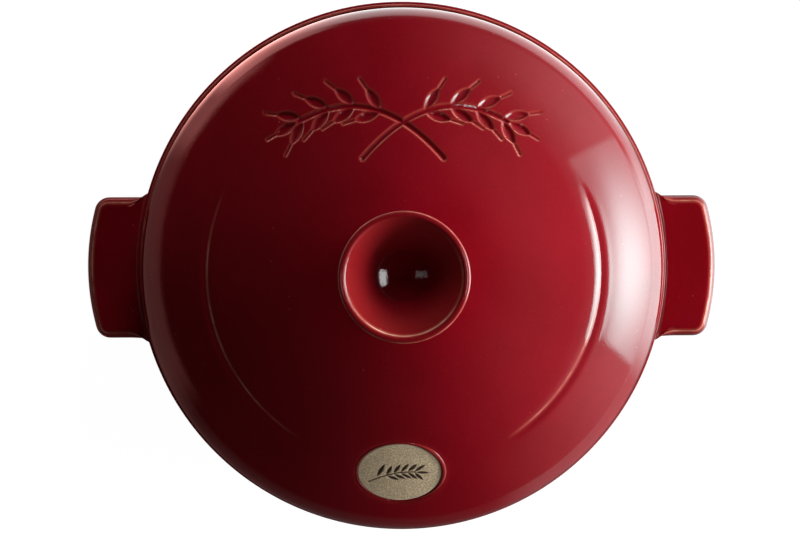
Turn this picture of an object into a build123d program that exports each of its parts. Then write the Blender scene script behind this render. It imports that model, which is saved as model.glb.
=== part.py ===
from build123d import *
from math import asin, cos, radians, sin, sqrt, tan
import os

# A domed bread cloche: a round glazed lid that stands in the rim of a round base with two lug handles.
# Millimetres, +Z up, the foot stands on Z = 0, the axis of both rims is Z, and the handles lie along X.

# Base dish
base_height = 45.0
rim_radius = 142.2
rim_lip_width = 3.0
rim_round = 1.3
seat_depth = 5.0
rim_band_height = 16.0
rim_band_step = 3.6
rim_step_round = 2.5
base_wall = 8.0
wall_lean_angle = 11.0
inner_corner_radius = 14.0
floor_thickness = 7.5
foot_height = 2.5
foot_width = 7.0
foot_inset = 2.0
foot_round = 1.0

# Rings raised on the baking floor
floor_ring_pitch = 12.0
floor_ring_width = 5.0
floor_ring_height = 1.2

# Lug handles
handle_reach = 169.5
handle_width = 76.0
handle_thickness = 11.5
handle_drop = 2.5
handle_tip_radius = 125.0
handle_corner_radius = 8.0
handle_root_radius = 5.0
handle_top_round = 2.4
handle_under_round = 3.6

# Lid dome
seat_clearance = 0.6
lid_wall = 7.0
lid_edge_round = 1.5
side_draft_angle = 4.6
shoulder_radius = 24.0
crown_radius = 198.0
crown_rise = 92.5

# Knob, one with the lid
knob_height = 27.5
knob_radius = 31.6
knob_lip_width = 3.4
knob_lip_height = 6.0
knob_lip_round = 1.6
knob_neck_radius = 20.0
knob_neck_height = 12.0
knob_root_radius = 27.0
knob_root_round = 5.0
dish_depth = 21.0
dish_floor_radius = 10.0
dish_floor_round = 20.0

# Two long arcs pressed into the crown, a distance in from the lid's edge
arc_inset = 38.6
arc_tool_radius = 3.0
arc_depth = 0.7
arc_high_angle = 25.5
arc_low_angle = 58.7

# Badge: an oval pad of bare clay in a recess of the crown
badge_width = 42.6
badge_length = 36.5
badge_thickness = 2.4
badge_sink = 0.5
badge_inset = 36.8
badge_turn = -1.25
badge_clearance = 0.15

# How far a cut runs past the face that it opens
overrun = 3.0

# Heights and radii that follow
seat_z = base_height - seat_depth
band_z = base_height - rim_band_height
floor_z = foot_height + floor_thickness
lip_inner_radius = rim_radius - rim_lip_width
lid_edge_radius = lip_inner_radius - seat_clearance
seat_inner_radius = lid_edge_radius - lid_wall
wall_top_radius = rim_radius - rim_band_step
wall_foot_radius = wall_top_radius - (band_z - foot_height) * tan(radians(wall_lean_angle))
cavity_floor_radius = seat_inner_radius - (seat_z - floor_z) * tan(radians(wall_lean_angle))
wall_room = band_z - rim_band_step - foot_height
outer_corner_radius = min(inner_corner_radius + base_wall, wall_room)
foot_radius = wall_foot_radius - outer_corner_radius + foot_inset
floor_ring_count = int((cavity_floor_radius - inner_corner_radius - floor_ring_width) / floor_ring_pitch)
handle_top_z = base_height - handle_drop
handle_bottom_z = handle_top_z - handle_thickness
crown_top = base_height + crown_rise
crown_centre_z = crown_top - crown_radius
knob_top = crown_top + knob_height
side_top_radius = lid_edge_radius - (crown_top - seat_z) * tan(radians(side_draft_angle))
inner_top_radius = side_top_radius - lid_wall
dish_radius = knob_radius - knob_lip_width
arc_tilt = asin((lid_edge_radius - arc_inset) / crown_radius)
badge_tilt = asin((lid_edge_radius - badge_inset) / crown_radius)


def crown_z(radius):
    """Height of the crown's sphere at a distance from the axis."""
    return crown_centre_z + sqrt(crown_radius**2 - radius**2)


def corner(sketch, radius, height):
    """The sketch's corner nearest to a place in the section plane."""
    return sketch.vertices().sort_by_distance((radius, height))[0]


# Handles: one flat plate with a lug at each end, its roots flowing into the rim's cylinder
with BuildPart() as handles:
    with BuildSketch(Plane.XY.offset(handle_bottom_z)) as handle_plan:
        Rectangle(2 * handle_reach, handle_width)
        tip_centre_x = handle_reach - handle_tip_radius
        with Locations((tip_centre_x, 0)):
            Circle(handle_tip_radius, mode=Mode.INTERSECT)
        split(bisect_by=Plane.YZ, keep=Keep.TOP)
        fillet(handle_plan.vertices().filter_by(lambda v: v.X > tip_centre_x), handle_corner_radius)
        mirror(about=Plane.YZ)
        Circle(rim_radius)
        roots = handle_plan.vertices().filter_by(lambda v: abs(v.X) < rim_radius)
        fillet(roots, handle_root_radius)
    extrude(amount=handle_thickness)
    fillet(handles.edges().group_by(Axis.Z)[-1], handle_top_round)
    fillet(handles.edges().group_by(Axis.Z)[0], handle_under_round)

# Base: the turned dish, joined with the handles and then hollowed
with BuildPart() as base:
    with BuildSketch(Plane.XZ) as dish_section:
        with BuildLine():
            Polyline(
                (0, foot_height),
                (foot_radius - foot_width, foot_height),
                (foot_radius - foot_width, 0),
                (foot_radius, 0),
                (foot_radius, foot_height),
                (wall_foot_radius, foot_height),
                (wall_top_radius, band_z - rim_band_step),
                (rim_radius, band_z),
                (rim_radius, base_height),
                (0, base_height),
                close=True,
            )
        make_face()
        fillet(corner(dish_section, wall_foot_radius, foot_height), outer_corner_radius)
        fillet(corner(dish_section, wall_top_radius, band_z - rim_band_step), rim_step_round)
        fillet(corner(dish_section, rim_radius, band_z), rim_step_round)
        fillet(corner(dish_section, foot_radius, 0), foot_round)
        fillet(corner(dish_section, foot_radius - foot_width, 0), foot_round)
    revolve(axis=Axis.Z)
    add(handles.part)
    with BuildSketch(Plane.XZ) as hollow_section:
        with BuildLine():
            Polyline(
                (0, floor_z),
                (cavity_floor_radius, floor_z),
                (seat_inner_radius, seat_z),
                (lip_inner_radius, seat_z),
                (lip_inner_radius, base_height + overrun),
                (0, base_height + overrun),
                close=True,
            )
        make_face()
        fillet(corner(hollow_section, cavity_floor_radius, floor_z), inner_corner_radius)
        fillet(corner(hollow_section, seat_inner_radius, seat_z), rim_round)
    revolve(axis=Axis.Z, mode=Mode.SUBTRACT)
    fillet(base.edges().group_by(Axis.Z)[-1], rim_round)
    with BuildSketch(Plane.XZ) as ring_section:
        for ring in range(1, floor_ring_count + 1):
            with Locations((ring * floor_ring_pitch, floor_z)):
                Ellipse(floor_ring_width / 2, floor_ring_height)
    revolve(axis=Axis.Z)
base.part.label = "base"

# Lid: side, shoulder, crown and knob turned in one section, then hollowed
with BuildPart() as lid:
    with BuildSketch(Plane.XZ) as lid_section:
        with BuildLine():
            Polyline(
                (0, seat_z),
                (lid_edge_radius, seat_z),
                (side_top_radius, crown_top),
                (0, crown_top),
                close=True,
            )
        make_face()
        with Locations((0, crown_centre_z)):
            Circle(crown_radius, mode=Mode.INTERSECT)
        fillet(lid_section.vertices().sort_by(lambda v: v.X + v.Y)[-1], shoulder_radius)
        fillet(corner(lid_section, lid_edge_radius, seat_z), lid_edge_round)
        with BuildLine():
            neck = ThreePointArc(
                (knob_root_radius, crown_z(knob_root_radius)),
                (knob_neck_radius, crown_top + knob_neck_height),
                (knob_radius, knob_top - knob_lip_height),
            )
            Polyline(
                neck @ 1,
                (knob_radius, knob_top),
                (dish_radius, knob_top),
                (dish_floor_radius, knob_top - dish_depth),
                (0, knob_top - dish_depth),
                (0, seat_z),
                (knob_root_radius, seat_z),
                neck @ 0,
            )
        make_face()
        fillet(corner(lid_section, knob_root_radius, crown_z(knob_root_radius)), knob_root_round)
        fillet(corner(lid_section, knob_radius, knob_top - knob_lip_height), knob_lip_round)
        fillet(corner(lid_section, knob_radius, knob_top), knob_lip_round)
        fillet(corner(lid_section, dish_radius, knob_top), knob_lip_round)
        fillet(corner(lid_section, dish_floor_radius, knob_top - dish_depth), dish_floor_round)
    revolve(axis=Axis.Z)
    with BuildSketch(Plane.XZ) as dome_section:
        with BuildLine():
            Polyline(
                (0, seat_z - overrun),
                (seat_inner_radius, seat_z - overrun),
                (seat_inner_radius, seat_z),
                (inner_top_radius, crown_top),
                (0, crown_top),
                close=True,
            )
        make_face()
        with Locations((0, crown_centre_z)):
            Circle(crown_radius - lid_wall, mode=Mode.INTERSECT)
        fillet(dome_section.vertices().sort_by(lambda v: v.X + v.Y)[-1], shoulder_radius - lid_wall)
    revolve(axis=Axis.Z, mode=Mode.SUBTRACT)

    # The two pressed arcs, each a ring segment with ball ends that bites into the crown
    arc_tool_distance = crown_radius - arc_depth + arc_tool_radius
    arc_tool_place = (arc_tool_distance * sin(arc_tilt), crown_centre_z + arc_tool_distance * cos(arc_tilt))
    for start_angle in (-arc_low_angle, 180 - arc_high_angle):
        with BuildSketch(Plane.XZ.rotated((0, 0, start_angle))):
            with Locations(arc_tool_place):
                Circle(arc_tool_radius)
        revolve(axis=Axis.Z, revolution_arc=arc_high_angle + arc_low_angle, mode=Mode.SUBTRACT)
        for end_angle in (start_angle, start_angle + arc_high_angle + arc_low_angle):
            turn = radians(end_angle)
            radius, height = arc_tool_place
            with Locations((radius * cos(turn), radius * sin(turn), height)):
                Sphere(arc_tool_radius, mode=Mode.SUBTRACT)

    # The badge's recess: an oval pocket with a flat floor square to the crown
    turn = radians(badge_turn)
    outward = Vector(sin(badge_tilt) * sin(turn), -sin(badge_tilt) * cos(turn), cos(badge_tilt))
    badge_face = Plane(
        origin=Vector(0, 0, crown_centre_z) + outward * crown_radius,
        x_dir=(cos(turn), sin(turn), 0),
        z_dir=outward,
    )
    badge_floor = badge_face.offset(-badge_sink - badge_thickness)
    with BuildSketch(badge_floor):
        Ellipse(badge_width / 2 + badge_clearance, badge_length / 2 + badge_clearance)
    extrude(amount=badge_sink + badge_thickness + overrun, mode=Mode.SUBTRACT)
lid.part.label = "lid"

# Badge: the oval pad, domed like the crown and a little below it
with BuildPart() as badge:
    with BuildSketch(badge_floor):
        Ellipse(badge_width / 2, badge_length / 2)
    extrude(amount=badge_thickness + overrun)
    with Locations((0, 0, crown_centre_z)):
        Sphere(crown_radius - badge_sink, mode=Mode.INTERSECT)
badge.part.label = "badge"

os.makedirs("parts", exist_ok=True)
export_step(base.part, "parts/base.step")
export_step(lid.part, "parts/lid.step")
export_step(badge.part, "parts/badge.step")
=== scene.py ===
"""A domed bread cloche in deep red glaze, lid on, seen from above on a pale floor.

Shapes are worked out in millimetres and written to the meshes in metres. X runs along the two handles,
-Y is the badge's side, and Z is the axis of the round dish and its lid.
"""
from math import atan2, ceil, cos, pi, radians, sin, sqrt, tan

import bpy
import numpy as np
from numpy.linalg import norm
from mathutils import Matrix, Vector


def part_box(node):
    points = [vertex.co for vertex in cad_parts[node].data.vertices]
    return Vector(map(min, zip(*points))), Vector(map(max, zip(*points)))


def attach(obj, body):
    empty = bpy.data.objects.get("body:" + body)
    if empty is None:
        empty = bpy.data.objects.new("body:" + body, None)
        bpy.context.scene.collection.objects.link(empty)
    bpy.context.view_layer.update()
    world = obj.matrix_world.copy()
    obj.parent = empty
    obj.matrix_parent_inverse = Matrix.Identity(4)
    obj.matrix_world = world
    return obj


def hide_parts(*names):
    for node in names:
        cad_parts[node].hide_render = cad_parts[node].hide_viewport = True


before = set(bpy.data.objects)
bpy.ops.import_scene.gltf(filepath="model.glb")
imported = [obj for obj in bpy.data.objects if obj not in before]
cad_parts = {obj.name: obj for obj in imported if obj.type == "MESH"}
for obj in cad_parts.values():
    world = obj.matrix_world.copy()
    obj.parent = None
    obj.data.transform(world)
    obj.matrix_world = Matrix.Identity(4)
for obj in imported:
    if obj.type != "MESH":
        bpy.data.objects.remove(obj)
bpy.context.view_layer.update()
METRES = 0.001

# Sizes that the frame gives
base_high = np.array(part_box("base")[1]) / METRES
lid_low, lid_high = (np.array(corner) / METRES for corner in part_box("lid"))
rim_radius = base_high[1]
rim_top = base_high[2]
handle_reach = base_high[0]
seat_height = lid_low[2]
knob_top = lid_high[2]

# Base dish
rim_lip_width = 3.0
rim_round = 1.3
rim_ledge_drop = 2.0
rim_ledge_width = 1.3
rim_ledge_foot = 0.9
rim_ledge_round = 0.855
rim_bead_lean = 0.35
rim_bead_round = 0.55
rim_bead_root_round = 0.33
band_low = rim_top - 16.0
band_start = band_low + 2.2
band_step = 3.6
band_step_round = 2.5
band_foot_drop = 0.8
band_foot_round = 1.2
base_wall = 8.0
wall_lean = radians(11.0)
inner_corner_radius = 14.0
seat_corner_round = 0.5
foot_height = 2.5
foot_width = 7.0
foot_inset = 2.0
foot_round = 1.0
foot_root_round = 0.6
floor_height = foot_height + 7.5
floor_ring_pitch = 12.0
floor_ring_width = 5.0
floor_ring_rise = 1.2
floor_rings = 8

# Lug handles: their roundings and coves take at most a share of how far the outline stands out
handle_half_width = 38.0
handle_top = rim_top - 2.5
handle_under = handle_top - 11.5
handle_tip_radius = 125.0
handle_corner_radius = 8.0
handle_root_radius = 5.5
handle_top_round = 5.2
handle_under_round = 4.0
handle_round_share = 0.6
handle_top_cove = 1.2
handle_cove_growth = 2.6
handle_under_cove = 3.0
handle_under_cove_share = 0.35
handle_blend = 2.0

# Lid dome
lid_edge_radius = rim_radius - rim_lip_width - 0.6
lid_wall = 7.0
lid_edge_round = 1.5
lid_inner_edge_round = 0.5
side_draft = radians(4.6)
shoulder_radius = 24.0
crown_radius = 198.0
crown_top = rim_top + 92.5
crown_centre = crown_top - crown_radius

# Knob
knob_radius = 31.6
knob_lip_width = 2.65
knob_lip_height = 6.0
knob_lip_round = 1.6
knob_lip_outer_round = 1.4
knob_lip_inner_round = 0.9
knob_chamfer_width = 1.11
knob_chamfer_drop = 0.88
knob_chamfer_round = 1.4
knob_neck_radius = 20.0
knob_neck_height = 12.0
knob_root_radius = 25.0
knob_root_round = 4.5
dish_depth = 18.7
dish_floor_radius = 12.7
dish_floor_rise = 1.45
dish_floor_round = 1.2
dish_middle_radius = 0.45 * dish_floor_radius
dish_middle_rise = 0.1 * dish_floor_rise
dish_middle_round = 45.0

# Long arcs pressed into the crown, with an inner slope that steepens outward and a shorter outer one
groove_radius = lid_edge_radius - 38.8
groove_depth = 0.55
groove_inner_slope = 5.5
groove_inner_power = 2.4
groove_outer_wall = 2.8
groove_swell = 0.05
groove_swell_place = (groove_outer_wall + 1.3, 1.0)
groove_high_end = radians(25.5)
groove_low_end = radians(58.7)
groove_taper = radians(9.0)

# Carved ornament near the back edge: two crossed ears of wheat
carved_ear = dict(
    start=(-20.0, 57.0), turn=(14.0, 97.0), tip=(52.0, 75.5), first_pair=0.44, pairs=4,
    length=13.5, width=5.0, lean=radians(36.0), beard=5.5, line=2.8,
)
ear_depth = 1.35
ear_brink = 0.35
ear_slope = 1.9
ear_nearest_y = 45.0

# Shares in any ear: a grain's are lengths out to its middle and to its beard, and its part of a beard
last_pair = 0.97
grain_aside = 0.1
side_grain = (0.56, 1.06, 1.0)
tip_grain = (0.55, 1.0, 0.8)
beard_width = 0.55

# Badge of bare clay, the swell of the crown at its right and the roll of glaze round it
badge_half_width = 21.3
badge_half_length = 18.25
badge_sink = 0.06
badge_thickness = 2.4
badge_edge_round = 0.9
badge_edge_drop = 0.54
badge_floor_gap = 0.05
badge_ink_depth = 0.22
badge_radius = lid_edge_radius - 36.8
badge_turn = radians(-1.25)
badge_swell = 0.26
badge_swell_place = (0.9, 2.4)
glaze_roll_offset = 0.45
glaze_roll_half_width = 0.38
glaze_roll_rise = 0.14
glaze_roll_sunk = 0.30
glaze_roll_heavy = (0.75, 0.9, 0.5)

# Sprig on the badge: an ear of wheat and a leaf
sprig_ear = dict(
    start=(-15.5, -6.0), turn=(-3.0, 2.0), tip=(8.0, 1.0), first_pair=0.36, pairs=5,
    length=6.6, width=1.8, lean=radians(43.0), beard=0.0, line=0.7,
)
sprig_leaf = dict(middle=(-9.5, 1.8), angle=radians(65.0), length=9.0, width=2.0)

# Painted highlight lines on the carved strokes, the arcs and the knob's lip, and a line of paler glaze round
# the badge: each one's middle, from its edge or as a radius, and its width
carved_highlight_line = (0.1, 0.38)
groove_highlight_line = (-1.3, 0.6)
knob_inner_highlight_line = (knob_radius - knob_lip_width - 1.0, 0.4)
knob_outer_highlight_line = (knob_radius - 0.45, 0.3)
badge_line = (0.75, 2.2)

# Fineness of the lid's rows and columns
crown_step = 3.4
carved_from = 57.5
carved_step = 0.58
outer_crown_step = 1.25
carved_columns, carved_half_angle = 280, radians(48)
badge_columns, badge_half_angle = 46, radians(16.5)
side_columns = 38


def smooth(low, high, value):
    """0 below low, 1 above high, and a smooth S between, which may run either way."""
    t = np.clip((np.asarray(value, float) - low) / (high - low), 0, 1)
    return t * t * (3 - 2 * t)


def bell(value, middle, width):
    """A bell curve: 1 at the middle, and 1 / e at a width from it."""
    return np.exp(-(((value - middle) / width) ** 2))


def direction(angle):
    """The direction at an angle in the plane."""
    return np.array([cos(angle), sin(angle)])


def heading(way):
    """The angle of a direction in the plane."""
    return atan2(way[1], way[0])


def straight(start, end, count):
    """Points from start towards end in equal steps, without the end."""
    t = np.linspace(0, 1, count, endpoint=False)[:, None]
    return (1 - t) * np.asarray(start, float) + t * np.asarray(end, float)


def bend(centre, radius, first, last, count):
    """Points on a circle from the first angle towards the last in equal steps, without the last."""
    angle = np.linspace(first, last, count, endpoint=False)
    return np.stack([centre[0] + radius * np.cos(angle), centre[1] + radius * np.sin(angle)], 1)


def rounded(corners, step):
    """A path through corners (across, up, rounding): straight runs joined by tangent arcs, a step apart."""
    places = [np.array(corner[:2], float) for corner in corners]
    pieces = []
    here = places[0]
    for before, corner, after, (_, _, radius) in zip(places, places[1:], places[2:], corners[1:-1]):
        inward = (before - corner) / norm(before - corner)
        onward = (after - corner) / norm(after - corner)
        half = np.arccos(np.clip(inward @ onward, -1, 1)) / 2
        cut = radius / tan(half)
        centre = corner + (inward + onward) / norm(inward + onward) * radius / sin(half)
        start, stop = corner + inward * cut, corner + onward * cut
        pieces.append(straight(here, start, max(1, ceil(norm(start - here) / step))))
        first = heading(start - centre)
        sweep = (heading(stop - centre) - first + pi) % (2 * pi) - pi
        pieces.append(bend(centre, radius, first, first + sweep, max(4, ceil(abs(sweep) * radius / step))))
        here = stop
    pieces.append(straight(here, places[-1], max(1, ceil(norm(places[-1] - here) / step))))
    pieces.append(places[-1][None])
    return np.vstack(pieces)


def circle_through(a, b, c):
    """Centre and radius of the circle through three points, from the two chords' middle normals."""
    a, b, c = (np.array(point, float) for point in (a, b, c))
    sides = 2 * np.array([b - a, c - a])
    centre = np.linalg.solve(sides, [b @ b - a @ a, c @ c - a @ a])
    return centre, norm(a - centre)


def lengths_along(path):
    """How far along the path each of its points lies."""
    return np.concatenate([[0], np.cumsum(norm(np.diff(path, axis=0), axis=1))])


def resample(path, count):
    """The same path as count points at equal distances along it."""
    along = lengths_along(path)
    wanted = np.linspace(0, along[-1], count)
    return np.stack([np.interp(wanted, along, path[:, axis]) for axis in (0, 1)], 1)


def at_height(flat, height):
    """Points of the plane raised to one height, or each to its own."""
    height = np.broadcast_to(np.asarray(height, float), flat.shape[:-1])
    return np.concatenate([flat, height[..., None]], -1)


def put_in_scene(name, data):
    """A new object in the scene."""
    made = bpy.data.objects.new(name, data)
    bpy.context.scene.collection.objects.link(made)
    return made


def put_in_mesh(name, points, faces, body, material, values):
    """A finished piece: its points in metres, its faces turned outward, each value a float attribute."""
    points = points * METRES
    a, b, c = (points[[face[k] for face in faces]] for k in (0, 1, 2))
    lasts = points[[face[-1] for face in faces]]
    volume = (a * np.cross(b, c)).sum() + (a * np.cross(c, lasts)).sum()
    if volume < 0:
        faces = [face[::-1] for face in faces]
    mesh = bpy.data.meshes.new(name)
    mesh.from_pydata(points.tolist(), [], faces)
    mesh.polygons.foreach_set("use_smooth", np.ones(len(faces), bool))
    for key, value in values.items():
        mesh.attributes.new(key, "FLOAT", "POINT").data.foreach_set("value", value.astype(np.float32))
    mesh.materials.append(material)
    piece = put_in_scene(name, mesh)
    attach(piece, body)
    return piece


def closed_grid(rings):
    """Points and faces of a closed skin: rings joined in turn, the first and last drawn to a point."""
    count, around = len(rings) - 2, rings.shape[1]
    points = np.vstack([rings[0].mean(0)[None], rings[1:-1].reshape(-1, 3), rings[-1].mean(0)[None]])
    here = 1 + np.arange(count * around).reshape(count, around)
    next_to = np.roll(here, -1, 1)
    quads = np.stack([here[:-1], next_to[:-1], next_to[1:], here[1:]], -1).reshape(-1, 4)
    start = np.stack([next_to[0], here[0], np.zeros(around, int)], 1)
    end = np.stack([here[-1], next_to[-1], np.full(around, len(points) - 1)], 1)
    return points, quads.tolist() + start.tolist() + end.tolist()


def closed_values(**rows):
    """Named values for the points of closed_grid."""
    return {
        key: np.concatenate([row[0].mean(keepdims=True), row[1:-1].ravel(), row[-1].mean(keepdims=True)])
        for key, row in rows.items()
    }


def closed_tube(rings):
    """Points and faces of a tube whose sections lie in rings and close up both ways, as on a ring."""
    rows, around = rings.shape[:2]
    here = np.arange(rows * around).reshape(rows, around)
    next_to, after = np.roll(here, -1, 1), np.roll(here, -1, 0)
    quads = np.stack([here, next_to, np.roll(next_to, -1, 0), after], -1).reshape(-1, 4)
    return rings.reshape(-1, 3), quads.tolist()


# Carved strokes, as distances in the plane: below zero inside a stroke, in millimetres

def line_distance(x, y, path, width):
    """Distance to a line of some width that follows a path of points: the nearest of its straight runs."""
    nearest = np.full(x.shape, 1e3)
    for (ax, ay), (bx, by) in zip(path, path[1:]):
        dx, dy = bx - ax, by - ay
        t = np.clip(((x - ax) * dx + (y - ay) * dy) / (dx * dx + dy * dy), 0, 1)
        nearest = np.minimum(nearest, np.hypot(x - ax - t * dx, y - ay - t * dy))
    return nearest - width / 2


def grain_distance(x, y, middle, angle, length, width):
    """Distance to an almond: its half width is a parabola along its length."""
    along = (x - middle[0]) * cos(angle) + (y - middle[1]) * sin(angle)
    across = np.abs((y - middle[1]) * cos(angle) - (x - middle[0]) * sin(angle))
    half = length / 2
    inside = across - width / 2 * (1 - np.clip(along / half, -1, 1) ** 2)
    return np.where(np.abs(along) < half, inside, np.hypot(np.abs(along) - half, across))


def ear_distance(x, y, start, turn, tip, first_pair, pairs, length, width, lean, beard, line):
    """Distance to an ear of wheat: a stalk on a parabola, with grains in pairs along its upper part.

    One more grain stands at the tip. Each grain ends in a beard, unless the beard's length is 0.
    """
    start, turn, tip = (np.array(point, float) for point in (start, turn, tip))

    def place(t):
        """A place on the stalk."""
        return (1 - t) ** 2 * start + 2 * t * (1 - t) * turn + t * t * tip

    nearest = line_distance(x, y, place(np.linspace(0, 1, 25)[:, None]), line)
    grains = [(tip, heading(tip - turn), 0, *tip_grain)]
    for t in np.linspace(first_pair, last_pair, pairs):
        angle = heading((1 - t) * (turn - start) + t * (tip - turn))
        grains += [(place(t), angle + side * lean, side, *side_grain) for side in (-1, 1)]
    for foot, angle, side, grain_out, beard_out, beard_share in grains:
        way = direction(angle)
        foot = foot + side * width * grain_aside * np.array([-way[1], way[0]])
        middle = foot + way * length * grain_out
        nearest = np.minimum(nearest, grain_distance(x, y, middle, angle, length, width))
        if beard:
            path = foot + np.outer([length * beard_out, length * beard_out + beard * beard_share], way)
            nearest = np.minimum(nearest, line_distance(x, y, path, line * beard_width))
    return nearest


# Node helpers, which add to the tree given or to the tree of the outputs given

def add(tree, kind, inputs=None, **settings):
    """A node with its settings. Its inputs are numbers, colours or other nodes' outputs."""
    made = tree.nodes.new(kind)
    for key, value in settings.items():
        setattr(made, key, value)
    for key, value in (inputs or {}).items():
        if isinstance(value, bpy.types.NodeSocket):
            tree.links.new(value, made.inputs[key])
        else:
            made.inputs[key].default_value = value
    return made


def calc(operation, *values, clamp=False):
    """A calculation with one to three numbers."""
    tree = next(value for value in values if isinstance(value, bpy.types.NodeSocket)).id_data
    inputs = dict(enumerate(values))
    return add(tree, "ShaderNodeMath", inputs, operation=operation, use_clamp=clamp).outputs[0]


def times(first, *others):
    """The product of some numbers."""
    for other in others:
        first = calc("MULTIPLY", first, other)
    return first


def total(first, *others):
    """The sum of some numbers."""
    for other in others:
        first = calc("ADD", first, other)
    return first


def spread(value, low, high, to_low=0.0, to_high=1.0):
    """The value's way from low to high, taken smoothly to another pair of numbers."""
    inputs = {"Value": value, "From Min": low, "From Max": high, "To Min": to_low, "To Max": to_high}
    return add(value.id_data, "ShaderNodeMapRange", inputs, interpolation_type="SMOOTHSTEP").outputs[0]


def tint(share, first, second):
    """Two colours mixed by a share."""
    return add(share.id_data, "ShaderNodeMix", {0: share, 6: first, 7: second}, data_type="RGBA").outputs[2]


def noise(where, scale, detail=2.0, roughness=0.5, distortion=0.0):
    """Noise whose grain is about one metre divided by scale across."""
    inputs = dict(Vector=where, Scale=scale, Detail=detail, Roughness=roughness, Distortion=distortion)
    return add(where.id_data, "ShaderNodeTexNoise", inputs).outputs["Fac"]


def attribute(tree, name):
    """A piece's own value at each point."""
    return add(tree, "ShaderNodeAttribute", attribute_name=name).outputs["Fac"]


def new_material(name):
    """A material with an empty Principled shader, and the place on the piece that its patterns read."""
    material = bpy.data.materials.new(name)
    material.use_nodes = True
    tree = material.node_tree
    shader = next(node for node in tree.nodes if node.type == "BSDF_PRINCIPLED")
    where = add(tree, "ShaderNodeTexCoord").outputs["Object"]
    return material, tree, shader, where


def finish_material(tree, shader, colour, roughness, height):
    """Gives the shader its colour, its roughness and a bump whose height is in metres."""
    bump = add(tree, "ShaderNodeBump", {"Strength": 1.0, "Distance": 1.0, "Height": height})
    for key, value in (("Base Color", colour), ("Roughness", roughness), ("Normal", bump.outputs[0])):
        tree.links.new(value, shader.inputs[key])


# Materials: colours, and heights of the surface's unevenness in metres

GLAZE_RED = (0.268, 0.0042, 0.0120, 1)
GLAZE_DARK = (0.225, 0.0028, 0.0084, 1)
GLAZE_THIN = (0.50, 0.105, 0.068, 1)
GLAZE_PALE_AND_HIGHLIGHT = (0.90, 0.46, 0.37, 1)
PINHOLE = (0.55, 0.16, 0.12, 1)
GLAZE_SPECULAR = 0.37
PEEL_HEIGHT = 1.9e-5
WAVE_HEIGHT = 1.2e-5
PIT_DEPTH = -1.2e-5
BARE_SAND_HEIGHT = 9.0e-5
CLAY = (0.97, 0.78, 0.52, 1)
CLAY_DARK = (0.57, 0.44, 0.27, 1)
CLAY_SPECK = (0.22, 0.14, 0.09, 1)
CLAY_EDGE = (0.86, 0.72, 0.54, 1)
INK = (0.055, 0.026, 0.016, 1)
SAND_HEIGHT = 2.0e-4
GRIT_HEIGHT = 3.0e-5


def red_glaze():
    """Deep red gloss glaze: slow drifts of depth, fine grain, pale pinholes, paler glaze at edges with
    painted highlight lines, bare clay feet.
    """
    material, tree, shader, where = new_material("red_glaze")
    shader.inputs["Specular IOR Level"].default_value = GLAZE_SPECULAR
    drift = noise(where, 11, 3, 0.55, 0.4)
    cloud = noise(where, 55, 4, 0.6)
    grain = noise(where, 900, 2, 0.7)
    cells = add(tree, "ShaderNodeTexVoronoi", {"Vector": where, "Scale": 130.0}).outputs
    chosen = spread(cells["Color"], 0.55, 0.6)
    pinhole = times(spread(cells["Distance"], 0.065, 0.035), chosen)
    ragged = total(attribute(tree, "bare"), calc("MULTIPLY_ADD", cloud, 0.5, -0.25))
    bare = spread(ragged, 0.45, 0.55)

    depth = total(times(drift, 0.7), times(cloud, 0.3))
    colour = tint(spread(depth, 0.35, 0.65), GLAZE_RED, GLAZE_DARK)
    colour = tint(spread(grain, 0.5, 0.85, 0, 0.09), colour, GLAZE_THIN)
    colour = tint(times(pinhole, 0.4), colour, PINHOLE)
    # One attribute holds both thinner glaze at edges and painted highlight lines; its larger values turn the
    # colour pale pink, as a painted highlight.
    pale_and_highlight = times(attribute(tree, "thin"), spread(cloud, 0.3, 0.7, 0.6, 1.0))
    colour = tint(pale_and_highlight, colour, GLAZE_THIN)
    colour = tint(spread(pale_and_highlight, 0.5, 1.0), colour, GLAZE_PALE_AND_HIGHLIGHT)
    colour = tint(bare, colour, tint(grain, CLAY, CLAY_DARK))

    gloss = total(spread(grain, 0.3, 0.8, 0.025, 0.055), times(pinhole, 0.15))
    roughness = calc("MULTIPLY_ADD", bare, 0.75, gloss, clamp=True)
    peel = times(noise(where, 1050, 1.5, 0.6), PEEL_HEIGHT)
    waves = times(noise(where, 85, 2, 0.5), WAVE_HEIGHT)
    sand = times(bare, grain, BARE_SAND_HEIGHT)
    height = total(peel, waves, times(pinhole, PIT_DEPTH), sand)
    finish_material(tree, shader, colour, roughness, height)
    return material


def bare_clay():
    """Bare beige clay: sandy grain, fine dark specks, and brown colour in the pressed lines."""
    material, tree, shader, where = new_material("bare_clay")
    cloud = noise(where, 120, 3, 0.6)
    sand = noise(where, 1300, 3, 0.75)
    grit = noise(where, 2900, 1, 0.5)
    colour = tint(spread(sand, 0.43, 0.60), CLAY_DARK, CLAY)
    colour = tint(spread(cloud, 0.35, 0.75, 0, 0.35), colour, CLAY_DARK)
    colour = tint(spread(grit, 0.66, 0.72, 0, 0.45), colour, CLAY_SPECK)
    colour = tint(times(attribute(tree, "edge"), 0.6), colour, CLAY_EDGE)
    colour = tint(attribute(tree, "ink"), colour, INK)
    height = total(times(sand, SAND_HEIGHT), times(grit, GRIT_HEIGHT))
    finish_material(tree, shader, colour, spread(sand, 0.3, 0.7, 0.6, 0.82), height)
    return material


# Lid

def dome_join(radius, from_line, lean):
    """Centre of the rounding between the crown and a leaning side: at one distance from each."""
    foot = np.array(from_line, float)
    up = np.array([-sin(lean), cos(lean)])
    inward = np.array([-cos(lean), -sin(lean)])
    start = foot + radius[1] * inward - np.array([0, crown_centre])
    reach = radius[0] - radius[1]
    along = -(start @ up) + sqrt((start @ up) ** 2 - start @ start + reach * reach)
    return foot + radius[1] * inward + along * up


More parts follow.
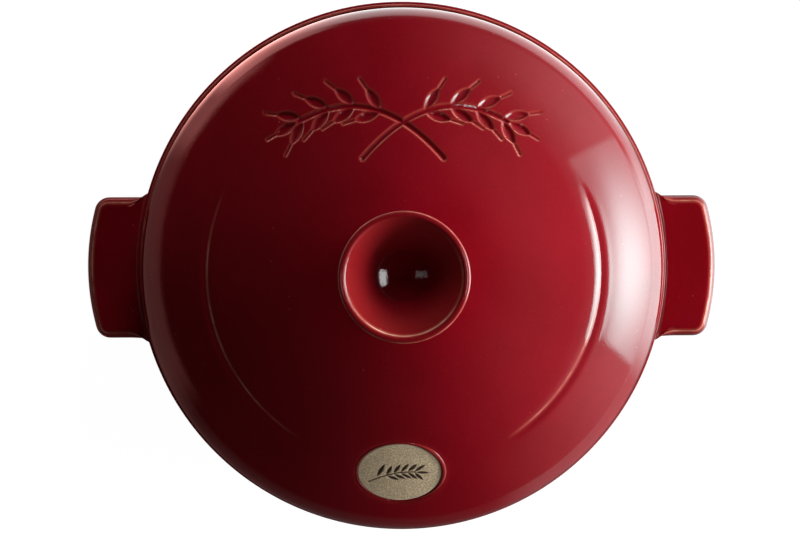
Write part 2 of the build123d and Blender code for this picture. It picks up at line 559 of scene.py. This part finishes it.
def lid_profile():
    """The lid's section, from the middle of the knob's dish over knob, crown and edge to the middle inside.

    Given with the spans of its rows that are the knob's dish and lip, and the crown.
    """
    z = knob_top
    lip_edge = knob_radius - knob_lip_width
    dish_floor = z - dish_depth
    dish = rounded([
        (0, dish_floor, 0),
        (dish_middle_radius, dish_floor + dish_middle_rise, dish_middle_round),
        (dish_floor_radius, dish_floor + dish_floor_rise, dish_floor_round),
        (lip_edge - knob_chamfer_width, z - knob_chamfer_drop, knob_chamfer_round),
        (lip_edge, z, knob_lip_inner_round),
        (knob_radius, z, knob_lip_outer_round),
        (knob_radius, z - knob_lip_height + knob_lip_round, 0),
    ], step=1.5)
    foot_z = crown_centre + sqrt(crown_radius**2 - knob_root_radius**2)
    neck, neck_radius = circle_through(
        (knob_root_radius, foot_z),
        (knob_neck_radius, crown_top + knob_neck_height),
        (knob_radius, z - knob_lip_height),
    )
    lip_across = knob_radius - knob_lip_round
    lip_up = sqrt((neck_radius + knob_lip_round) ** 2 - (lip_across - neck[0]) ** 2)
    lip = np.array([lip_across, neck[1] + lip_up])
    lip_angle = heading(neck - lip)
    dish[-1] = lip + (knob_lip_round, 0)
    under_lip = bend(lip, knob_lip_round, 0, lip_angle, 6)[1:]

    middle = np.array([0, crown_centre])
    apart = norm(neck - middle)
    to_middle, to_neck = crown_radius + knob_root_round, neck_radius - knob_root_round
    turn = np.arccos((apart**2 + to_middle**2 - to_neck**2) / (2 * apart * to_middle))
    root_way = heading(neck - middle) + turn
    root = middle + to_middle * direction(root_way)
    root_first = heading(root - neck) % (2 * pi)
    waist = bend(neck, neck_radius, lip_angle + pi, root_first, 16)
    root_bend = bend(root, knob_root_round, root_first, root_way + pi, 7)

    shoulder = dome_join((crown_radius, shoulder_radius), (lid_edge_radius, seat_height), side_draft)
    join = heading(shoulder - middle)
    slope_start = groove_radius - groove_inner_slope
    slope_end = groove_radius - 0.1
    wall_end = groove_radius + groove_outer_wall
    swell_end = wall_end + 2.0
    spots = np.concatenate([
        np.arange(crown_radius * cos(root_way), carved_from, crown_step),
        np.arange(carved_from, slope_start, carved_step),
        np.linspace(slope_start, slope_end, 11, endpoint=False),
        np.linspace(slope_end, wall_end, 9, endpoint=False),
        np.linspace(wall_end, swell_end, 3, endpoint=False),
        np.arange(swell_end, crown_radius * cos(join), outer_crown_step),
    ])
    crown = np.stack([spots, crown_centre + np.sqrt(crown_radius**2 - spots**2)], 1)
    round_shoulder = bend(shoulder, shoulder_radius, join, -side_draft, 20)
    side_start = shoulder + shoulder_radius * direction(-side_draft)

    inner_foot = (lid_edge_radius - lid_wall, seat_height)
    inner_crown, inner_shoulder = crown_radius - lid_wall, shoulder_radius - lid_wall
    inner = dome_join((inner_crown, inner_shoulder), inner_foot, side_draft)
    edge = rounded([
        (*side_start, 0),
        (lid_edge_radius, seat_height, lid_edge_round),
        (*inner_foot, lid_inner_edge_round),
        (*(inner + inner_shoulder * direction(-side_draft)), 0),
    ], step=9.0)[:-1]
    inner_join = heading(inner - middle)
    inner_bend = bend(inner, inner_shoulder, -side_draft, inner_join, 8)
    ceiling = bend(middle, inner_crown, inner_join, pi / 2, 12)
    top = np.array([[0, crown_centre + inner_crown]])
    parts = [dish, under_lip, waist, root_bend, crown, round_shoulder, edge, inner_bend, ceiling, top]
    first = sum(len(part) for part in parts[:4])
    return np.vstack(parts), slice(0, len(dish)), slice(first, first + len(crown))


def lid_angles():
    """Angles of the lid's columns: close together at the carving and at the badge, wider elsewhere."""
    back, front = radians(90), radians(270)
    carved = (back - carved_half_angle, back + carved_half_angle)
    badged = (front - badge_half_angle, front + badge_half_angle)
    stops = (*carved, *badged, carved[0] + 2 * pi)
    spans = zip(stops, stops[1:], (carved_columns, side_columns, badge_columns, side_columns))
    return np.concatenate([np.linspace(start, end, count, endpoint=False) for start, end, count in spans])


def badge_frame():
    """The badge's middle on the crown, and its three directions: across, towards the knob and outward."""
    tilt = badge_radius / crown_radius
    outward = np.array([tilt * sin(badge_turn), -tilt * cos(badge_turn), sqrt(1 - tilt * tilt)])
    across = np.array([cos(badge_turn), sin(badge_turn), 0])
    middle = np.array([0, 0, crown_centre]) + outward * crown_radius
    return middle, across, np.cross(outward, across), outward


def badge_offset(points):
    """How far points lie outside the badge's oval, in its plane and along the ray from its middle."""
    middle, across, inward, _ = badge_frame()
    x, y = (points - middle) @ across, (points - middle) @ inward
    ray = np.hypot(x / badge_half_width, y / badge_half_length)
    return np.hypot(x, y) * (1 - 1 / np.maximum(ray, 1e-6))


def on_badge(x, y, z):
    """Points given in the badge's three directions, as places of the object."""
    middle, across, inward, outward = badge_frame()
    return middle + x[..., None] * across + y[..., None] * inward + z[..., None] * outward


def groove_section(gap):
    """The arcs' section: a slope that steepens outward by a power, then an S-shaped slope back up."""
    inner = np.clip(1 + gap / groove_inner_slope, 0, 1) ** groove_inner_power
    wall = smooth(groove_outer_wall, 0, gap)
    return np.where(gap < 0, inner, wall)


def carved_ears(x, y):
    """Distance to the two crossed ears."""
    return np.minimum(ear_distance(x, y, **carved_ear), ear_distance(-x, y, **carved_ear))


def lid_piece(material):
    """The turned section, with the two arcs, the carved ears and the badge's recess sunk into the crown."""
    profile, knob_rows, crown_rows = lid_profile()
    slope = np.gradient(profile, axis=0)
    slope /= norm(slope, axis=1)[:, None]
    angle = lid_angles()
    across, up = np.cos(angle)[None], np.sin(angle)[None]
    radius, height = profile[:, :1], profile[:, 1:]
    rings = np.stack([radius * across, radius * up, height + 0 * across], -1)
    outward = np.stack([-slope[:, 1:] * across, -slope[:, 1:] * up, slope[:, :1] + 0 * across], -1)
    x, y = rings[..., 0], rings[..., 1]
    crown, knob = np.zeros(x.shape), np.zeros(x.shape)
    crown[crown_rows] = 1
    knob[knob_rows] = 1

    gap = radius - groove_radius
    turned = np.arctan2(y, x)
    mirrored = np.where(np.abs(turned) > pi / 2, np.sign(turned) * pi - turned, turned)
    ends = smooth(groove_high_end, groove_high_end - groove_taper, mirrored)
    ends *= smooth(-groove_low_end, -groove_low_end + groove_taper, mirrored)
    ends *= crown
    sunk = groove_depth * groove_section(gap) * ends - groove_swell * bell(gap, *groove_swell_place) * ends

    near = (y > ear_nearest_y) & (crown > 0)
    carved = np.full(x.shape, 10.0)
    carved[near] = carved_ears(x[near], y[near])
    sunk += ear_depth * smooth(ear_brink, ear_brink - ear_slope, carved)
    inward = -np.gradient(carved, axis=0) / np.maximum(np.abs(np.gradient(radius, axis=0)), 1e-3)
    # Painted highlight along the carved strokes' edges, stronger on the edges nearer the knob.
    carved_edge_highlight = bell(carved, *carved_highlight_line) * (0.45 + 0.55 * smooth(0.1, 0.8, inward))

    at_badge = crown * (y < 0)
    off_badge = badge_offset(rings)
    recess = smooth(1.0, -0.8, off_badge) * at_badge
    swell = bell(off_badge, *badge_swell_place) * at_badge * smooth(-2, 18, x)
    sunk += (badge_sink + badge_thickness) * recess - badge_swell * swell * (1 - recess)
    rings -= outward * sunk[..., None]

    lip = knob * smooth(knob_top - 2.0, knob_top - 0.5, height)
    wall = knob * smooth(12, 22, radius) * smooth(29, 27, radius)
    turned_front = 0.5 * across - 0.87 * up
    inner_highlight = knob * bell(radius, *knob_inner_highlight_line) * smooth(-0.6, 0.4, turned_front)
    outer_highlight = knob * bell(radius, *knob_outer_highlight_line) * (height > knob_top - 2.5)
    # Painted highlights: the carved edges, a line on each arc's inner slope, a line inside the knob's lip
    # towards the front and right, and one round its outside. The knob's lip and dish wall are a little paler
    # all round, and paler glaze rings the badge.
    thin = carved_edge_highlight + 0.85 * bell(gap, *groove_highlight_line) * ends + 0.05 * lip + 0.12 * wall
    thin += 0.10 * bell(off_badge, *badge_line) * at_badge + inner_highlight + 0.8 * outer_highlight
    bare = smooth(seat_height + 1.4, seat_height + 0.5, height) + 0 * across
    points, faces = closed_grid(rings)
    values = closed_values(thin=np.clip(thin, 0, 1), bare=bare)
    piece = put_in_mesh("lid_shell", points, faces, "lid", material, values)
    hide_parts("lid")
    return piece


# Badge

def badge_pad(material):
    """An oval pad: rings of one oval, out over the domed face, round the edge, down and back under."""
    face_rings, edge_rings, under_rings, around = 84, 7, 8, 288
    lean = np.linspace(0.15, pi / 2, edge_rings)
    inset = badge_edge_round / badge_half_width
    share = np.concatenate([
        np.linspace(0, 1 - inset, face_rings),
        1 - inset * (1 - np.sin(lean)),
        np.linspace(1, 0, under_rings),
    ])[:, None]
    drop = np.zeros(share.shape)
    drop[face_rings:-under_rings, 0] = badge_edge_drop * (1 - np.cos(lean))
    angle = np.linspace(0, 2 * pi, around, endpoint=False)
    x = share * badge_half_width * np.cos(angle)
    y = share * badge_half_length * np.sin(angle)
    bulge = np.sqrt((crown_radius - badge_sink) ** 2 - x * x - y * y) - crown_radius
    sprig = badge_sprig(x, y)
    z = bulge - drop - badge_ink_depth * smooth(0.2, -0.25, sprig)
    ink = smooth(0.14, -0.14, sprig)
    edge = smooth(1 - 2.2 * inset, 1 - 0.4 * inset, share) + 0 * x
    z[-under_rings:] = badge_floor_gap - badge_sink - badge_thickness
    ink[-under_rings:] = 0
    edge[-under_rings:] = 0
    points, faces = closed_grid(on_badge(x, y, z))
    values = closed_values(ink=ink, edge=edge)
    piece = put_in_mesh("badge_pad", points, faces, "lid", material, values)
    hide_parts("badge")
    return piece


def badge_sprig(x, y):
    """Distance to the badge's ornament: an ear of wheat lying across, with a leaf on its stalk."""
    return np.minimum(ear_distance(x, y, **sprig_ear), grain_distance(x, y, **sprig_leaf))


def glaze_roll(material):
    """The roll where the glaze ends at the badge: an ellipse as section, along an oval path outside the pad.

    It is sunk into the crown, heavier at the right and made a little uneven by two sine waves.
    """
    path = np.linspace(0, 2 * pi, 240, endpoint=False)[:, None]
    section = np.linspace(0, 2 * pi, 18, endpoint=False)[None]
    sideways = np.stack([np.cos(path) / badge_half_width, np.sin(path) / badge_half_length], -1)
    sideways /= norm(sideways, axis=-1, keepdims=True)
    uneven = 1 + 0.10 * np.sin(3 * path + 0.6) + 0.06 * np.sin(7 * path + 2.0)
    heavy = smooth(-0.1, 1.0, np.cos(path - radians(18)))
    offset = glaze_roll_offset + glaze_roll_heavy[0] * heavy
    half_width = (glaze_roll_half_width + glaze_roll_heavy[1] * heavy) * uneven
    rise = (glaze_roll_rise + glaze_roll_heavy[2] * heavy) * uneven
    off = offset + half_width * np.cos(section)
    x = badge_half_width * np.cos(path) + sideways[..., 0] * off
    y = badge_half_length * np.sin(path) + sideways[..., 1] * off
    z = np.sqrt(crown_radius**2 - x * x - y * y) - crown_radius - glaze_roll_sunk
    z += (rise + glaze_roll_sunk) * np.sin(section)
    points, faces = closed_tube(on_badge(x, y, z))
    # Painted highlight along the roll's top, strongest on its heavy right side.
    thin = (0.05 + 0.25 * heavy) * np.clip(np.sin(section), 0, 1)
    values = {"thin": thin.ravel(), "bare": np.zeros(len(points))}
    return put_in_mesh("badge_glaze_roll", points, faces, "lid", material, values)


# Base

def base_outline():
    """The base's outline from above: places, outward directions, and each place's angle on the rim."""
    fillet_y = handle_half_width + handle_root_radius
    fillet_x = sqrt((rim_radius + handle_root_radius) ** 2 - fillet_y**2)
    root_angle = atan2(fillet_y, fillet_x)
    tip_x = handle_reach - handle_tip_radius
    corner_y = handle_half_width - handle_corner_radius
    corner_x = tip_x + sqrt((handle_tip_radius - handle_corner_radius) ** 2 - corner_y**2)
    corner_angle = atan2(corner_y, corner_x - tip_x)
    root = bend((fillet_x, -fillet_y), handle_root_radius, pi - root_angle, pi / 2, 10)
    side = straight((fillet_x, -handle_half_width), (corner_x, -handle_half_width), 9)
    corner = bend((corner_x, -corner_y), handle_corner_radius, -pi / 2, -corner_angle, 10)
    half_tip = bend((tip_x, 0), handle_tip_radius, -corner_angle, 0, 16)
    half = np.vstack([root, side, corner, half_tip])
    half_out = np.vstack([
        (np.array([fillet_x, -fillet_y]) - root) / handle_root_radius,
        np.tile([0.0, -1.0], (len(side), 1)),
        (corner - (corner_x, -corner_y)) / handle_corner_radius,
        (half_tip - (tip_x, 0)) / handle_tip_radius,
    ])
    mirror = np.array([1, -1])
    lug = np.vstack([half, [[handle_reach, 0]], half[:0:-1] * mirror])
    lug_out = np.vstack([half_out, [[1, 0]], half_out[:0:-1] * mirror])
    along = lengths_along(lug)
    whole = along[-1] + norm(lug[-1] - half[0] * mirror)
    lug_angle = root_angle * (2 * along / whole - 1)
    free_angle = np.linspace(root_angle, pi - root_angle, 94, endpoint=False)
    free_out = np.stack([np.cos(free_angle), np.sin(free_angle)], 1)
    places = np.vstack([lug, rim_radius * free_out, -lug, -rim_radius * free_out])
    outs = np.vstack([lug_out, free_out, -lug_out, -free_out])
    angles = np.concatenate([lug_angle, free_angle, lug_angle + pi, free_angle + pi])
    return places, outs, angles


def base_piece(material):
    """One closed skin: underside and wall, the rim's band with the handles swelling out of it, the inside.

    Between the band's foot and the rim's crest each column blends two courses, by how far the outline stands
    out of the rim there: straight up the band, or out along the handle's underside, round its edge and back.
    """
    places, outs, angle = base_outline()
    ray = np.stack([np.cos(angle), np.sin(angle)], 1)
    reach = norm(places, axis=1) - rim_radius
    handle = smooth(0, handle_blend, reach)[None, :, None]

    def turned(section):
        """Rings of the turned dish."""
        return at_height(section[:, :1, None] * ray, section[:, 1:])

    wall_top = rim_radius - band_step
    step_low = band_low - band_step
    wall_foot = wall_top - (band_low - foot_height) * tan(wall_lean)
    outer_corner = min(inner_corner_radius + base_wall, step_low - foot_height)
    foot_radius = wall_foot - outer_corner + foot_inset
    cove_start = np.array([wall_top - band_foot_drop * tan(wall_lean), step_low - band_foot_drop])
    lower = rounded([
        (0, foot_height, 0),
        (foot_radius - foot_width, foot_height, foot_root_round),
        (foot_radius - foot_width, 0, foot_round),
        (foot_radius, 0, foot_round),
        (foot_radius, foot_height, foot_root_round),
        (wall_foot, foot_height, outer_corner),
        (*cove_start, 0),
    ], step=5.0)[:-1]
    step = rounded([
        (*cove_start, 0),
        (wall_top, step_low, band_foot_round),
        (rim_radius, band_low, band_step_round),
        (rim_radius, band_start, 0),
    ], step=0.4)
    cove_rows, face_rows, round_rows, side_rows, top_rows, root_rows = 14, 8, 10, 3, 9, 4
    step = resample(step, cove_rows)
    ledge = rim_top - rim_ledge_drop
    crest_low = ledge - rim_ledge_foot

    rows = face_rows + 2 * round_rows + side_rows + top_rows + root_rows
    band = np.linspace(step[-1, 1], crest_low, rows + 1)[1:]
    plain = turned(np.vstack([step, np.stack([np.full(rows, rim_radius), band], 1)]))

    def shares(count, end=1.0):
        """Steps from 0 to an end, without the 0."""
        return np.linspace(0, end, count + 1)[1:]

    quarter = np.linspace(0, pi / 2, cove_rows)
    cove_out = np.minimum(handle_under_cove, handle_under_cove_share * reach)
    cove_x = cove_start[0] + (rim_radius + cove_out - cove_start[0]) * (1 - np.cos(quarter))[:, None]
    cove_z = cove_start[1] + (handle_under - cove_start[1]) * np.sin(quarter)
    under_round = np.minimum(handle_under_round, handle_round_share * reach)
    top_round = np.minimum(handle_top_round, handle_round_share * reach)
    under_in, top_in = outs * under_round[:, None], outs * top_round[:, None]
    low_z, high_z = handle_under + under_round, handle_top - top_round
    cove_edge = (rim_radius + cove_out)[:, None] * ray
    sideways = np.clip(np.abs(rim_radius * ray[:, 1]) / handle_half_width, 0, 1)
    cove_width = handle_top_cove + handle_cove_growth * sideways**4
    top_cove = (rim_radius + np.minimum(cove_width, handle_round_share * reach))[:, None] * ray
    ring = rim_radius * ray

    course = [at_height(cove_x[k][:, None] * ray, cove_z[k]) for k in range(cove_rows)]
    for t in shares(face_rows):
        course.append(at_height((1 - t) * cove_edge + t * (places - under_in), handle_under))
    for a in shares(round_rows, pi / 2):
        course.append(at_height(places - under_in * (1 - sin(a)), handle_under + under_round * (1 - cos(a))))
    for t in shares(side_rows):
        course.append(at_height(places, (1 - t) * low_z + t * high_z))
    for a in shares(round_rows, pi / 2):
        course.append(at_height(places - top_in * (1 - cos(a)), handle_top - top_round * (1 - sin(a))))
    for t in shares(top_rows):
        course.append(at_height((1 - t) * (places - top_in) + t * top_cove, handle_top))
    for a in shares(root_rows, pi / 2):
        flat = top_cove + (ring - top_cove) * sin(a)
        course.append(at_height(flat, handle_top + (crest_low - handle_top) * (1 - cos(a))))
    middle = (1 - handle) * plain + handle * np.array(course)

    lip_inner = rim_radius - rim_lip_width
    seat_inner = lid_edge_radius - lid_wall
    floor_edge = seat_inner - (seat_height - floor_height) * tan(wall_lean)
    inside = rounded([
        (rim_radius, crest_low, 0),
        (rim_radius, ledge, rim_ledge_round),
        (rim_radius - rim_ledge_width, ledge, rim_bead_root_round),
        (rim_radius - rim_ledge_width - rim_bead_lean, rim_top, rim_bead_round),
        (lip_inner, rim_top, rim_bead_round),
        (lip_inner, seat_height, seat_corner_round),
        (seat_inner, seat_height, rim_round),
        (floor_edge, floor_height, inner_corner_radius),
        (floor_rings * floor_ring_pitch + floor_ring_width, floor_height, 0),
    ], step=1.2)[1:]
    baking_floor = np.arange(inside[-1, 0], 0.4, -1.3)[1:]
    nearest_ring = np.clip(np.round(baking_floor / floor_ring_pitch), 1, floor_rings) * floor_ring_pitch
    from_ring = np.abs(baking_floor - nearest_ring)
    rise = floor_ring_rise * np.sqrt(np.clip(1 - (2 * from_ring / floor_ring_width) ** 2, 0, 1))
    baking_floor = np.stack([baking_floor, floor_height + rise], 1)
    inner_skin = turned(np.vstack([inside, baking_floor, [[0, floor_height]]]))
    rings = np.concatenate([turned(lower), middle, inner_skin])

    radius, height = np.hypot(rings[..., 0], rings[..., 1]), rings[..., 2]
    order = np.arange(len(rings))[:, None]
    side_start = len(lower) + cove_rows + face_rows + round_rows
    edge_middle = side_start + side_rows + round(round_rows * 0.62)
    root_start = side_start + side_rows + round_rows + top_rows
    inside_start = root_start + root_rows
    crest = smooth(rim_top - 1.0, rim_top - 0.3, height) * (radius > lip_inner - 0.5)
    handle_edge = np.clip(1.5 - np.abs(order - edge_middle), 0, 1) * handle[..., 0]
    at_root = (order > root_start) & (order < inside_start)
    ring_top = smooth(floor_height + 0.5, floor_height + 1.2, height)
    ring_top = ring_top * (radius < floor_edge) * (order > inside_start)
    # Paler glaze on the rim's crest, the handles' edges and the baking rings' tops, and a painted glow in
    # the handles' root coves.
    thin = 0.6 * crest + 0.95 * handle_edge + 0.5 * ring_top + 0.3 * at_root * handle[..., 0]
    points, faces = closed_grid(rings)
    values = closed_values(thin=np.clip(thin, 0, 1), bare=smooth(1.3, 0.6, height))
    piece = put_in_mesh("base_dish", points, faces, "base", material, values)
    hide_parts("base")
    return piece


# Studio: strengths of the lights, where 1 is white

KEY_CORE = 21.5
KEY_BORDER = 3.2
KEY_CORE_LIT = 13.0
KEY_BORDER_LIT = 12.0
BACK_LEVEL = 7.6
FRONT_LEVEL = 2.6
RIGHT_LAMP_LEVEL = 12.0
LEFT_LAMP_LEVEL = 1.3
FLOOR_WHITE = 0.985
FLOOR_GLOW = 0.12
FLOOR_MATT = (0.10, 0.10, 0.10, 1)
ROOM_GLOW = 0.05

# What the glaze mirrors at the right: azimuth in degrees, power of the cosine, and strength
RIGHT_AZIMUTH, RIGHT_POWER, RIGHT_LEVEL = 9, 2.6, 1.45

# Patches that it mirrors elsewhere: azimuth, cosines where they begin and are full, and strength
LEFT_WALL = (172, 0.70, 0.86, 0.36)
BACK_WINDOW = (138, 0.95, 0.99, 0.95)
FLOOR_FRONT = (318, 0.88, 0.98, 0.9)
FLOOR_STREAK = (121, 0.95, 0.99, 1.5)

# Colours
WHITE = (1, 1, 1, 1)
KEY_COLOUR = (1, 0.985, 0.97, 1)
KEY_MIRRORED = (0.68, 1, 1, 1)
MIRRORED_COOL = (0.62, 1, 1, 1)
MIRRORED_WARM = (2.2, 0.82, 0.74, 1)

# Places and sizes of the lights in metres
SQUARE = ((-1, -1), (1, -1), (1, 1), (-1, 1))
FLOOR_HALF = 30.0
FLOOR_LOW = -0.0002
FILL_DISTANCE = 1.3
FILL_SIZE = 0.5
OBJECT_MIDDLE = (0, 0, 0.09)
LAMP_HEIGHT = 0.4


def front_side(tree):
    """1 on a card's front, 0 on its back."""
    return calc("SUBTRACT", 1.0, add(tree, "ShaderNodeNewGeometry").outputs["Backfacing"])


def by_ray(tree, seen, mirrored, lit):
    """One strength for the camera's own rays, one for mirrored or refracted rays and one for all others."""
    path = add(tree, "ShaderNodeLightPath").outputs
    mirror = calc("ADD", path["Is Glossy Ray"], path["Is Transmission Ray"], clamp=True)
    unseen = add(tree, "ShaderNodeMix", {0: mirror, 2: lit, 3: mirrored}).outputs[0]
    return add(tree, "ShaderNodeMix", {0: path["Is Camera Ray"], 2: unseen, 3: seen}).outputs[0]


def glowing(tree, strength, colour=WHITE):
    """A shader that gives out light."""
    return add(tree, "ShaderNodeEmission", {"Color": colour, "Strength": strength}).outputs[0]


def surface(tree, shader):
    """Makes a shader the material's surface."""
    add(tree, "ShaderNodeOutputMaterial", {"Surface": shader})


def flat_card(name, corners):
    """A four-cornered card with an empty material: the object and its material's nodes."""
    mesh = bpy.data.meshes.new(name)
    mesh.from_pydata([tuple(corner) for corner in corners], [], [(0, 1, 2, 3)])
    card = put_in_scene(name, mesh)
    material = bpy.data.materials.new(name)
    material.use_nodes = True
    material.node_tree.nodes.clear()
    mesh.materials.append(material)
    return card, material.node_tree


def towards(across, along, azimuth):
    """How far a level direction points to an azimuth: the cosine of the angle between them."""
    turn = radians(azimuth)
    return calc("MULTIPLY_ADD", across, cos(turn), times(along, sin(turn)))


def patch(across, along, azimuth, begins, full, level):
    """The strength of a soft-edged patch round an azimuth, in a level direction."""
    return spread(towards(across, along, azimuth), begins, full, 0.0, level)


def round_about(across, along):
    """What the glaze mirrors at the height of the horizon in a direction: at the right and at the left."""
    ahead = towards(across, along, RIGHT_AZIMUTH)
    right = times(calc("POWER", calc("MAXIMUM", ahead, 0.0), RIGHT_POWER), RIGHT_LEVEL)
    left = total(patch(across, along, *LEFT_WALL), patch(across, along, *BACK_WINDOW))
    return ahead, right, left


def mirrored_colour(across):
    """White, but for mirrored rays cool at the right and a warm brown at the left, as of a wooden room."""
    mirror = add(across.id_data, "ShaderNodeLightPath").outputs["Is Glossy Ray"]
    cool = times(spread(across, 0.6, 0.95), mirror)
    warm = times(spread(across, -0.1, -0.6), mirror)
    return tint(warm, tint(cool, WHITE, MIRRORED_COOL), MIRRORED_WARM)


def pale_floor():
    """A wide floor, white to the camera but for the object's soft shadow, mirrored brighter at the right."""
    _, tree = flat_card("floor", [(a * FLOOR_HALF, b * FLOOR_HALF, FLOOR_LOW) for a, b in SQUARE])
    where = add(tree, "ShaderNodeTexCoord").outputs["Object"]
    away = add(tree, "ShaderNodeVectorMath", {0: where}, operation="LENGTH").outputs["Value"]
    axes = add(tree, "ShaderNodeSeparateXYZ", {0: where}).outputs
    reach = calc("MAXIMUM", away, 0.01)
    across = calc("DIVIDE", axes["X"], reach)
    along = calc("DIVIDE", axes["Y"], reach)
    _, right, left = round_about(across, along)
    below_light = spread(across, 0.88, 1.0, 0.0, 12.6)
    near = calc("SUBTRACT", 1.0, calc("DIVIDE", 0.17, reach), clamp=True)
    front = patch(across, along, *FLOOR_FRONT)
    sides = times(total(right, left, below_light, front), near)
    across_back = times(spread(axes["X"], -0.21, -0.07), spread(axes["X"], 0.5, 0.35))
    deep_back = times(spread(axes["Y"], 0.05, 0.13), spread(axes["Y"], 0.52, 0.30))
    streak = times(patch(across, along, *FLOOR_STREAK), spread(away, 1.2, 0.5))
    behind = calc("MAXIMUM", times(across_back, deep_back, 2.1), streak)
    strength = by_ray(tree, FLOOR_WHITE, total(sides, behind, 0.04), FLOOR_GLOW)
    lit = glowing(tree, strength, mirrored_colour(across))
    matt = add(tree, "ShaderNodeBsdfDiffuse", {"Color": FLOOR_MATT}).outputs[0]
    surface(tree, add(tree, "ShaderNodeAddShader", {0: lit, 1: matt}).outputs[0])


def key_light():
    """One upright soft light at the right, brightest a little above its middle, fading out at its border."""
    distance, low = 1.9, 0.01
    front, front_high = -0.96, 0.70
    back, back_high = 1.25, 1.14
    outline = ((front, low), (front, front_high), (back, back_high), (back, low))
    card, tree = flat_card("key_light", [(distance, y, z) for y, z in outline])
    where = add(tree, "ShaderNodeTexCoord").outputs["Object"]
    axes = add(tree, "ShaderNodeSeparateXYZ", {0: where}).outputs
    y, z = axes["Y"], axes["Z"]

    core_y, core_z = -0.05, 0.49
    wide, tall_below, tall_above = 0.50, 0.29, 0.175
    from_y = calc("DIVIDE", calc("SUBTRACT", y, core_y), wide)
    above = calc("SUBTRACT", z, core_z)
    higher, lower = calc("DIVIDE", above, tall_above), calc("DIVIDE", above, -tall_below)
    from_z = calc("MAXIMUM", higher, lower)
    away = total(calc("POWER", from_y, 2.0), calc("POWER", from_z, 2.0))
    core = calc("EXPONENT", times(away, -0.5))

    front_edge = calc("MULTIPLY_ADD", z, 0.26, front)
    back_edge = calc("MULTIPLY_ADD", z, 0.08, back - 0.09)
    rise = (back_high - front_high) / (back - front)
    top = calc("MULTIPLY_ADD", y, rise, front_high - rise * front)
    front_fade = spread(calc("SUBTRACT", y, front_edge), 0.0, 0.08)
    back_fade = spread(calc("SUBTRACT", back_edge, y), 0.0, 0.11)
    top_fade = spread(calc("SUBTRACT", top, z), 0.0, 0.10)
    border = times(front_fade, back_fade, top_fade, front_side(tree))

    mirrored = times(calc("MULTIPLY_ADD", core, KEY_CORE, KEY_BORDER), border)
    lighting = times(calc("MULTIPLY_ADD", core, KEY_CORE_LIT, KEY_BORDER_LIT), border)
    mirror = add(tree, "ShaderNodeLightPath").outputs["Is Glossy Ray"]
    colour = tint(mirror, KEY_COLOUR, KEY_MIRRORED)
    lit = glowing(tree, by_ray(tree, 0.0, mirrored, lighting), colour)
    clear = add(tree, "ShaderNodeBsdfTransparent", {"Color": WHITE}).outputs[0]
    surface(tree, add(tree, "ShaderNodeMixShader", {0: border, 1: clear, 2: lit}).outputs[0])
    card.visible_camera = False


def fill_light(name, azimuth, elevation, level):
    """A square soft light that faces the object and doesn't mirror in the glaze."""
    turn, tilt = radians(azimuth), radians(elevation)
    ahead = np.array([cos(turn) * cos(tilt), sin(turn) * cos(tilt), sin(tilt)])
    across = np.array([-sin(turn), cos(turn), 0])
    middle = ahead * FILL_DISTANCE + OBJECT_MIDDLE
    half_across, half_up = FILL_SIZE / 2 * across, FILL_SIZE / 2 * np.cross(ahead, across)
    card, tree = flat_card(name, [middle + a * half_across + b * half_up for b, a in SQUARE])
    surface(tree, glowing(tree, times(front_side(tree), level)))
    card.visible_camera = False
    card.visible_glossy = False
    card.visible_transmission = False


def lamp(name, across, along, level):
    """A small lamp high above, between two places each way, that only the glaze mirrors."""
    (left, right), (front, back) = across, along
    outline = ((left, front), (left, back), (right, back), (right, front))
    card, tree = flat_card(name, [(x, y, LAMP_HEIGHT) for x, y in outline])
    surface(tree, glowing(tree, level))
    card.visible_camera = False
    card.visible_diffuse = False
    card.visible_shadow = False


def room():
    """A dim room: white to the camera, dark overhead and at the left, with a soft glow from the right."""
    world = bpy.data.worlds.new("room")
    bpy.context.scene.world = world
    world.use_nodes = True
    tree = world.node_tree
    tree.nodes.clear()
    way = add(tree, "ShaderNodeTexCoord").outputs["Generated"]
    axes = add(tree, "ShaderNodeSeparateXYZ", {0: way}).outputs
    up = axes["Z"]
    ahead, right, left = round_about(axes["X"], axes["Y"])
    overhead = spread(up, 0.95, 0.75, 0.07, 1.0)
    glow = times(spread(ahead, 0.1, 0.75, 0.02, 0.3), overhead)
    right = times(right, spread(up, 0.45, 0.2))
    left = times(left, spread(up, 0.10, 0.094))
    halo = spread(times(spread(up, 0.62, 0.42), ahead), 0.5, 1.0, 0.0, 0.6)
    mirrored = total(glow, halo, calc("MAXIMUM", right, left))
    strength = by_ray(tree, 1.0, mirrored, ROOM_GLOW)
    colour = mirrored_colour(axes["X"])
    back = add(tree, "ShaderNodeBackground", {"Color": colour, "Strength": strength}).outputs[0]
    add(tree, "ShaderNodeOutputWorld", {"Surface": back})


def camera():
    """The photograph's view: from a metre above the middle, a little towards the back, looking down."""
    data = bpy.data.cameras.new("camera")
    data.sensor_fit = "HORIZONTAL"
    data.sensor_width = 36.0
    data.lens = 83.88
    eye = put_in_scene("camera", data)
    eye.location = (-0.0089, 0.04137, 1.045)
    eye.rotation_euler = (-0.0410, -0.0080, -0.0035)
    bpy.context.scene.camera = eye


glaze = red_glaze()
clay = bare_clay()
base_piece(glaze)
lid_piece(glaze)
badge_pad(clay)
glaze_roll(glaze)
pale_floor()
key_light()
fill_light("back_light", 80, 22, BACK_LEVEL)
fill_light("front_light", -50, 25, FRONT_LEVEL)
lamp("high_lamp_right", (0.076, 0.099), (-0.035, 0.025), RIGHT_LAMP_LEVEL)
lamp("high_lamp_left", (-0.082, -0.045), (-0.03, -0.005), LEFT_LAMP_LEVEL)
room()
camera()
bpy.context.scene.view_settings.view_transform = "Standard"
